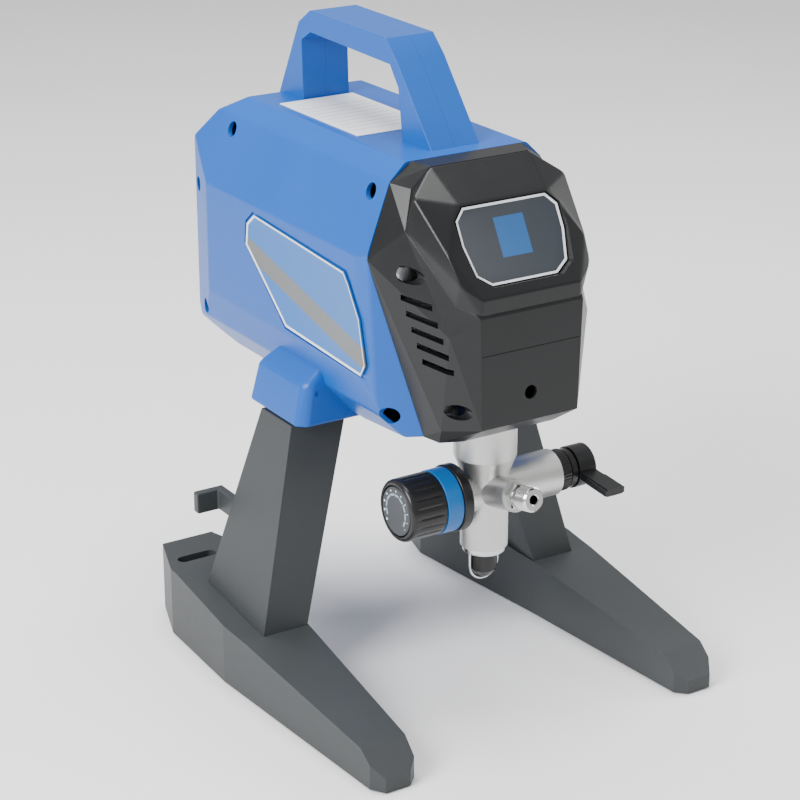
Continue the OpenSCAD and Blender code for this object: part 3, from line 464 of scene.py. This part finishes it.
for side, name in ((1, "right"), (-1, "left")):
    half = thing("shell_" + name, bmesh.new())
    half.data = body.data.copy()
    near, far = sorted((side * 0.04, side * 200))
    join(half, box((near, -300, 100), (far, 300, 500)), "INTERSECT")
    finished(half, body_blue, "chassis", "housing_blue", "housing_" + name)
bpy.data.objects.remove(body)


# ---------------------------------------------------------------------------------------------
# Front cover: one black moulding over the crank, with a visor that frames a sunk badge panel, two
# screw recesses and five slanted vents in each flank, and a hole for oiling the piston.
# ---------------------------------------------------------------------------------------------
cover_black = moulded("cover_nylon_black", (0.006, 0.0065, 0.0072), 0.31, 1000, 0.00005)
COVER = [(41, -80.3, ROOF), (56.5, -80.3, 350.5), (73, -80.3, RIDGE), (66, -90.1, 268), (61, -96.5, 244),
         (50.6, -110.3, 193), (36.4, -94, ROOF - 1), (50, -94, 349), (60, -103, 326), (47, -139, 286),
         (38, -153, 280), (36, -153, 208), (51.5, -140, 267), (50, -129, 203), (34, -130, 193),
         (48, -124, 193)]


def cover_form(inset, back):
    points = [(x, y, z) for x, y, z in COVER] + [(x, y + back, z) for x, y, z in COVER[:6]]
    shape = hull(points + [(-x, y, z) for x, y, z in points])
    if inset:
        middle = Vector((0, -95, 275)) * MM
        for vert in shape.verts:
            away = vert.co - middle
            vert.co -= Vector((away.x / abs(away.x), 0, 0)) * inset * MM
            vert.co.z -= inset * MM * (1 if away.z > 0 else -1)
            if vert.co.y < -0.1:
                vert.co.y += inset * MM
    return shape


PANEL_TILT = radians(29.1)
PANEL_OUT = Vector((0, -cos(PANEL_TILT), sin(PANEL_TILT)))
PANEL_UP = Vector((0, sin(PANEL_TILT), cos(PANEL_TILT)))
PANEL_AT = Vector((0, -130.5, 320.5))
PANEL = [(-37.5, -1), (-37.5, 15), (-30.5, 22.5), (30.5, 22.5), (37.5, 15), (37.5, -1), (33.5, -20.5),
         (24, -27.5), (-24, -27.5), (-33.5, -20.5)]


def on_panel(bm):
    """Takes something drawn in XY, with Z outwards, onto the tilted panel of the cover."""
    turn = Matrix(((1, 0, 0), PANEL_UP, PANEL_OUT)).transposed().to_4x4()
    bmesh.ops.transform(bm, matrix=Matrix.Translation(PANEL_AT * MM) @ turn, verts=bm.verts)
    return bm


def panel_sink(more, floor):
    """The sunk panel: a flat floor with flared walls."""
    bm = prism(2, grown(PANEL, 3.2 + more), floor, 1)
    top = max(bm.faces, key=lambda face: face.calc_center_median().z)
    bmesh.ops.translate(bm, vec=(0, 0, 13 * MM), verts=top.verts)
    bmesh.ops.scale(bm, vec=(1.12, 1.12, 1), verts=top.verts)
    return on_panel(bm)


VISOR = [(56, -106, 347), (50, -137, 316), (48, -146, 301), (36, -153.2, 292), (60, -103, 326),
         (47, -139, 286), (37, -152, 281), (36.4, -94, ROOF - 1), (50, -94, 349)]
spots = [PANEL_AT + PANEL_UP * v + PANEL_OUT * 1.6 + Vector((u, 0, 0)) for u, v in grown(PANEL, 3)]
shape = cover_form(0, 0)
rounded(shape, 4.5, 5, 6)
cover = thing("cover", shape)
visor = hull([Vector((side * x, y, z)) for x, y, z in VISOR for side in (1, -1)] + spots)
rounded(visor, 3, 4, 6)
join(cover, visor, "UNION")
hollow = thing("hollow", cover_form(WALL, 8))
join(hollow, panel_sink(WALL, -WALL))
inside = bmesh.new()
inside.from_mesh(hollow.data)
bpy.data.objects.remove(hollow)
join(cover, inside)
join(cover, panel_sink(-2.4, 0))
for side in (1, -1):
    for i in range(5):
        vent = box((-9, i - 16, -1.9), (9, 15, 1.9))
        place = Matrix.Translation(Vector((side * (61 - 2.2 * i), -118 - 2.6 * i, 284 - 9.6 * i)) * MM)
        lean = Matrix.Rotation(side * radians(28), 4, "Z") @ Matrix.Rotation(radians(9), 4, "X")
        bmesh.ops.transform(vent, matrix=place @ lean, verts=vent.verts)
        join(cover, vent)
    join(cover, drilled(1, side * 61, -130, 300, 5.2, 28))
    join(cover, drilled(1, side * 45, -150, 218, 5.2, 24))
join(cover, drilled(1, 0, -160, 226.5, 4.5, 30))
join(cover, box((-36.5, -154, 255.7), (36.5, -152.6, 256.2)))
join(cover, drilled(2, 0, -104.5, 180, 22, 30))
finished(cover, cover_black, "chassis", "cover_black", "front_cover")


# ---------------------------------------------------------------------------------------------
# Screws: pan heads with a cross recess, zinc plated. They close the housing, hold the cover and
# pass through the sockets into the legs.
# ---------------------------------------------------------------------------------------------
def painted(names, material, width=0.0, segments=2, angle=25, slot=None):
    """Gives modelled nodes a finish, and rounds their edges by a width in millimetres."""
    for name in names:
        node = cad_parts[name]
        for holder in node.material_slots:
            holder.material = material
        if width:
            node.modifiers.new("weld", "WELD").merge_threshold = 0.00001
            edge = node.modifiers.new("edge", "BEVEL")
            edge.width = width * MM
            edge.segments = segments
            edge.limit_method = "ANGLE"
            edge.angle_limit = radians(angle)
            edge.harden_normals = True
            node.modifiers.new("weighted", "WEIGHTED_NORMAL").keep_sharp = True


zinc = metal("screw_zinc", (0.42, 0.43, 0.45), 0.34, 2200)
painted(["housing_screws", "cover_screws", "leg_bolts"], zinc, 0.25)


# ---------------------------------------------------------------------------------------------
# Badges: thin plates let into the cover and the flanks, each with a raised silver rim. The front
# one is dark slate with a blue block, the side ones are blue with a slanted grey band.
# ---------------------------------------------------------------------------------------------
def enamel(name, colour, second, where):
    """Glossy printed plate: two colours parted by a mask, under a thin clear coat."""
    finish = Finish(name, **{"Coat Weight": 0.1, "Coat Roughness": 0.2})
    cloud = finish.noise(30, 3)
    x, y, z = finish.axes()
    ground = finish.mix(cloud, tuple(c * 0.9 for c in colour) + (1,), colour + (1,))
    finish.set({
        "Base Color": finish.mix(where(x, y, z), ground, second + (1,)),
        "Roughness": cloud * 0.12 + 0.36,
        "Normal": finish.bump(finish.noise(500, 2), 0.00002),
    })
    return finish.material


rim_silver = moulded("rim_silver", (0.72, 0.74, 0.77), 0.3)


def badge(name, bm, outward, material, slot):
    """A plate whose outward face has a raised rim of silver."""
    bm.normal_update()
    face = max(bm.faces, key=lambda one: one.normal.dot(Vector(outward)))
    made = bmesh.ops.inset_region(bm, faces=[face], thickness=1.5 * MM, depth=0, use_even_offset=True)
    for rim in made["faces"]:
        rim.material_index = 1
    bmesh.ops.translate(bm, vec=Vector(outward) * -0.35 * MM, verts=face.verts)
    piece = thing(name, bm)
    finished(piece, [material, rim_silver], "chassis", slot, name, flat=False)


slate = enamel("badge_slate", (0.025, 0.032, 0.042), (0.01, 0.09, 0.27),
               lambda x, y, z: (x * x < 0.00012) * (z < 0.3325) * (z > 0.3105))
plate = prism(2, PANEL, 0, 1.2)
badge("front_badge", on_panel(plate), PANEL_OUT, slate, "badge_slate")
side_blue = enamel("badge_blue", (0.012, 0.13, 0.42), (0.12, 0.125, 0.13),
                   lambda x, y, z: (z - y * 0.24 > 0.2505) * (z - y * 0.24 < 0.2645))
for side, name in ((-1, "left"), (1, "right")):
    low, high = sorted((side * (BODY_HALF - 0.4), side * (BODY_HALF + 1)))
    badge("side_badge_" + name, prism(0, BADGE, low, high), (side, 0, 0), side_blue, "badge_blue")


# ---------------------------------------------------------------------------------------------
# Rating plate: a white printed plate on the roof, ruled with faint grey lines and left bare.
# ---------------------------------------------------------------------------------------------
ruled = Finish("plate_white", **{"Coat Weight": 0.2, "Coat Roughness": 0.2})
x, y, z = ruled.axes()
lines = y.math("PINGPONG", y, 0.004)
mask = (lines < 0.0005) * (x > -0.034) * (x < 0.015) * (y > -0.004) * (y < 0.068)
grime = ruled.noise(40, 4)
paper = ruled.mix(grime, (0.74, 0.75, 0.76, 1), (0.82, 0.82, 0.82, 1))
ruled.set({
    "Base Color": ruled.mix(mask, paper, (0.42, 0.44, 0.47, 1)),
    "Roughness": grime * 0.15 + 0.35,
})
painted(["rating_plate"], ruled.material, 0.2)


# ---------------------------------------------------------------------------------------------
# Stand: two hollow legs, each with a long foot in two pieces, an outer hook for the mains lead
# and rubber pads. Charcoal glass-filled nylon with a rough spark-eroded grain.
# ---------------------------------------------------------------------------------------------
charcoal = moulded("stand_nylon_charcoal", (0.034, 0.038, 0.04), 0.46, 1100, 0.0001, 0.12)
painted(["leg_left", "leg_right", "foot_left", "foot_right", "toe_left", "toe_right"], charcoal, 1.8, 4, 12)
painted(["cable_hook_left", "cable_hook_right"], charcoal, 1.2, 3, 25)
rubber = moulded("pad_rubber", (0.02, 0.02, 0.021), 0.75, 1500, 0.00008)
painted(["foot_pads"], rubber, 0.3)


# ---------------------------------------------------------------------------------------------
# Drive: a brushed motor between two cast case halves, two stages of spur gears, a crank and a
# yoke. Mostly bare steel and cast aluminium, seen through the vents and slots.
# ---------------------------------------------------------------------------------------------
cast = metal("cast_aluminium", (0.56, 0.565, 0.57), 0.42, 900, 0.00007, 0.14)
steel = metal("tool_steel", (0.46, 0.47, 0.49), 0.26, 2500)
plated = metal("plated_steel", (0.62, 0.63, 0.65), 0.2, 2500)
lamination = metal("motor_steel", (0.3, 0.31, 0.33), 0.38, 1800)
brass = metal("piston_brass", (0.62, 0.44, 0.16), 0.28, 2000)
painted(["gear_case_front", "gear_case_rear"], cast, 0.6)
painted(["gear_case_posts", "bearings", "yoke", "crank_shaft", "armature_shaft"], steel, 0.25)
painted(["motor_can", "armature"], lamination, 0.5)
painted(["motor_magnets"], lamination)
painted(["reduction_gear", "crank_gear"], steel)
painted(["piston_rod", "upper_ball", "inlet_ball", "inlet_seat"], plated)
painted(["piston", "brush_holders"], brass, 0.2)
painted(["packings"], moulded("packing_leather", (0.42, 0.27, 0.13), 0.6, 1600, 0.00008), 0.2)
ivory = moulded("fan_ivory", (0.72, 0.68, 0.56), 0.4)
painted(["motor_fan", "motor_end_cap"], ivory)
board = Finish("board_green", **{"Coat Weight": 0.3})
weave = board.noise(260, 3)
board.set({"Base Color": board.mix(weave, (0.01, 0.12, 0.05, 1), (0.02, 0.19, 0.08, 1)),
           "Roughness": weave * 0.2 + 0.3})
painted(["circuit_board"], board.material, 0.2)


# ---------------------------------------------------------------------------------------------
# Pump: a blasted aluminium casting with the barrel upright and the two arms across it, a turned
# ring and inlet below, and a wire bail that holds the suction hose.
# ---------------------------------------------------------------------------------------------
blasted = metal("pump_aluminium", (0.6, 0.605, 0.59), 0.4, 1500, 0.0001, 0.12)
painted(["pump_casting"], blasted, 1.6, 4, 28)
painted(["cylinder_ring"], plated, 0.4)
gloss_black = moulded("control_black", (0.011, 0.011, 0.012), 0.24, 700, 0.00002)
painted(["suction_inlet"], gloss_black, 0.8, 3)
painted(["inlet_clip"], plated)


# ---------------------------------------------------------------------------------------------
# Hose fitting: a nickel-plated swivel with a hexagon, a neck and a rolled thread for the hose.
# ---------------------------------------------------------------------------------------------
def lathe(profile, steps=96):
    """A closed profile of (along, radius) pairs turned once about the local X axis."""
    bm = bmesh.new()
    verts = [bm.verts.new(Vector((along, 0, radius)) * MM) for along, radius in profile]
    edges = [bm.edges.new(pair) for pair in zip(verts, verts[1:] + verts[:1])]
    bmesh.ops.spin(bm, geom=verts + edges, cent=(0, 0, 0), axis=(1, 0, 0), angle=2 * pi, steps=steps,
                   use_merge=True, use_duplicate=False)
    bmesh.ops.remove_doubles(bm, verts=bm.verts, dist=0.000002)
    bmesh.ops.recalc_face_normals(bm, faces=bm.faces)
    return bm


def placed(bm, at, along=(1, 0, 0)):
    """Turns the local X axis of a solid to a direction, and moves it to a point."""
    turn = Vector((1, 0, 0)).rotation_difference(Vector(along)).to_matrix().to_4x4()
    bmesh.ops.transform(bm, matrix=Matrix.Translation(Vector(at) * MM) @ turn, verts=bm.verts)
    return bm


profile = [(34, 3), (34, 8.8), (41.2, 8.8), (42, 8), (42, 6.5), (44, 6.5), (44.6, 7.2)]
for i in range(7):
    profile += [(45 + i * 1.35, 7.3), (45.45 + i * 1.35, 8), (45.75 + i * 1.35, 8), (46.2 + i * 1.35, 7.3)]
profile += [(54.8, 7.4), (56, 6.6), (56, 3.6), (55.5, 3)]
HOSE_OUT = (0, -0.976296, 0.21644)
PUMP_AT = (0, -104.5, 144)
nickel = metal("fitting_nickel", (0.7, 0.7, 0.69), 0.17, 2500, 0.00002)
fitting = thing("hose_thread", placed(lathe(profile, 72), PUMP_AT, HOSE_OUT))
for i in range(6):
    flat_side = box((33, 7.62, -12), (41.9, 20, 12))
    bmesh.ops.transform(flat_side, matrix=Matrix.Rotation(i * pi / 3, 4, "X"), verts=flat_side.verts)
    join(fitting, placed(flat_side, PUMP_AT, HOSE_OUT))
finished(fitting, nickel, "chassis", "plated_steel", "hose_fitting", flat=False)


# ---------------------------------------------------------------------------------------------
# Pressure regulator: a ribbed nut and a black flange on the left arm, and a gloss knob with long
# shallow grooves, a blue band and a printed dial on its end.
# ---------------------------------------------------------------------------------------------
painted(["regulator_nut"], plated, 0.4)
painted(["regulator_flange"], gloss_black, 0.9, 4)
painted(["regulator_plunger", "regulator_spring"], steel)
KNOB_FAR = 67.3
grip_profile = [(-KNOB_FAR + 1.2, 16.4), (-KNOB_FAR, 17), (-KNOB_FAR, 18.3), (-KNOB_FAR + 0.5, 19.4),
                (-KNOB_FAR + 1.6, 20.2), (-KNOB_FAR + 3, 20.5)]
grip_profile += [(-KNOB_FAR + 3 + i * 2.2, 20.5) for i in range(1, 11)]
grip_profile += [(-41.9, 20.5), (-41.4, 20), (-41.4, 19), (-30, 19), (-30, 16), (-64, 16), (-64, 16.4)]
knob = lathe(grip_profile, 160)
for vert in knob.verts:
    here = Vector((vert.co.y, vert.co.z))
    groove = max(0, cos(20 * Vector((1, 0)).angle(here))) ** 4 if here.length > 20.45 * MM else 0
    if groove and -KNOB_FAR + 4 < vert.co.x / MM < -43.4:
        here *= 1 - 0.03 * groove
        vert.co.y, vert.co.z = here
knob = thing("knob_grip", placed(knob, PUMP_AT))
finished(knob, gloss_black, "knob", "control_black", "pressure_knob", flat=False)
band_blue = moulded("band_blue", (0.006, 0.12, 0.38), 0.3)
painted(["knob_band"], band_blue, 0.4)

dial_grey = moulded("dial_grey", (0.045, 0.05, 0.056), 0.42, 900)
dial_print = moulded("dial_print", (0.25, 0.33, 0.42), 0.45)
dial_white = moulded("dial_white", (0.8, 0.81, 0.82), 0.4)
dial = lathe([(-66.3, 0), (-66.3, 15.9), (-67, 16), (-67.5, 15.6), (-67.5, 0)], 96)
dots = thing("dots", bmesh.new())
for i in range(11):
    turn = radians(-130 + 26 * i)
    dot = drilled(0, -67.4, 13.6 * sin(turn), 13.6 * cos(turn), 0.3 + 0.055 * i, -0.22, 20)
    join(dots, dot, "UNION")
for i in range(9):
    turn = radians(-128 + 28 * i)
    wedge = prism(0, [(10.4 * sin(turn), 10.4 * cos(turn)), (11.9 * sin(turn), 11.9 * cos(turn)),
                      (11.9 * sin(turn + 0.4), 11.9 * cos(turn + 0.4)),
                      (10.4 * sin(turn + 0.4), 10.4 * cos(turn + 0.4))], -67.6, -67.4)
    join(dots, wedge, "UNION")
for piece in dots.data.polygons:
    across = Vector((piece.center.y, piece.center.z)).length / MM
    piece.material_index = 0 if across > 12.4 else 1
bmesh.ops.translate(dial, vec=Vector(PUMP_AT) * MM, verts=dial.verts)
finished(thing("dial_disc", dial), dial_grey, "knob", "dial_grey", "knob_dial", flat=False)
dots.data.transform(Matrix.Translation(Vector(PUMP_AT) * MM))
finished(dots, [dial_white, dial_print], "knob", "dial_grey", "knob_dial", flat=False)


# ---------------------------------------------------------------------------------------------
# Prime valve: a knurled ring and a cap on the right arm, and a paddle lever that turns a quarter
# of a turn between spraying and priming.
# ---------------------------------------------------------------------------------------------
ring = lathe([(52, 8), (52, 13.4), (52.6, 14), (54.2, 14), (56.2, 14), (58.2, 14), (60, 14), (60.6, 13.2),
              (61, 12.4), (61.4, 13.1), (65.4, 13.1), (66, 12.4), (66, 8)], 180)
for vert in ring.verts:
    here = Vector((vert.co.y, vert.co.z))
    if here.length > 13.95 * MM:
        here *= 1 - 0.02 * (0.5 + 0.5 * cos(45 * Vector((1, 0)).angle(here)))
        vert.co.y, vert.co.z = here
ring = thing("valve_ring", placed(ring, PUMP_AT))
finished(ring, gloss_black, "chassis", "control_black", "valve_cap", flat=False)
painted(["valve_stem"], steel)
painted(["prime_lever"], cover_black, 1.3, 4, 20)


# ---------------------------------------------------------------------------------------------
# Rear controls: a framed rocker switch and the gland where the mains lead goes in.
# ---------------------------------------------------------------------------------------------
painted(["switch_bezel"], gloss_black, 0.5, 3)
painted(["rocker_switch"], moulded("rocker_red", (0.5, 0.02, 0.015), 0.28), 0.5, 3)
painted(["cord_gland"], cover_black, 0.5)
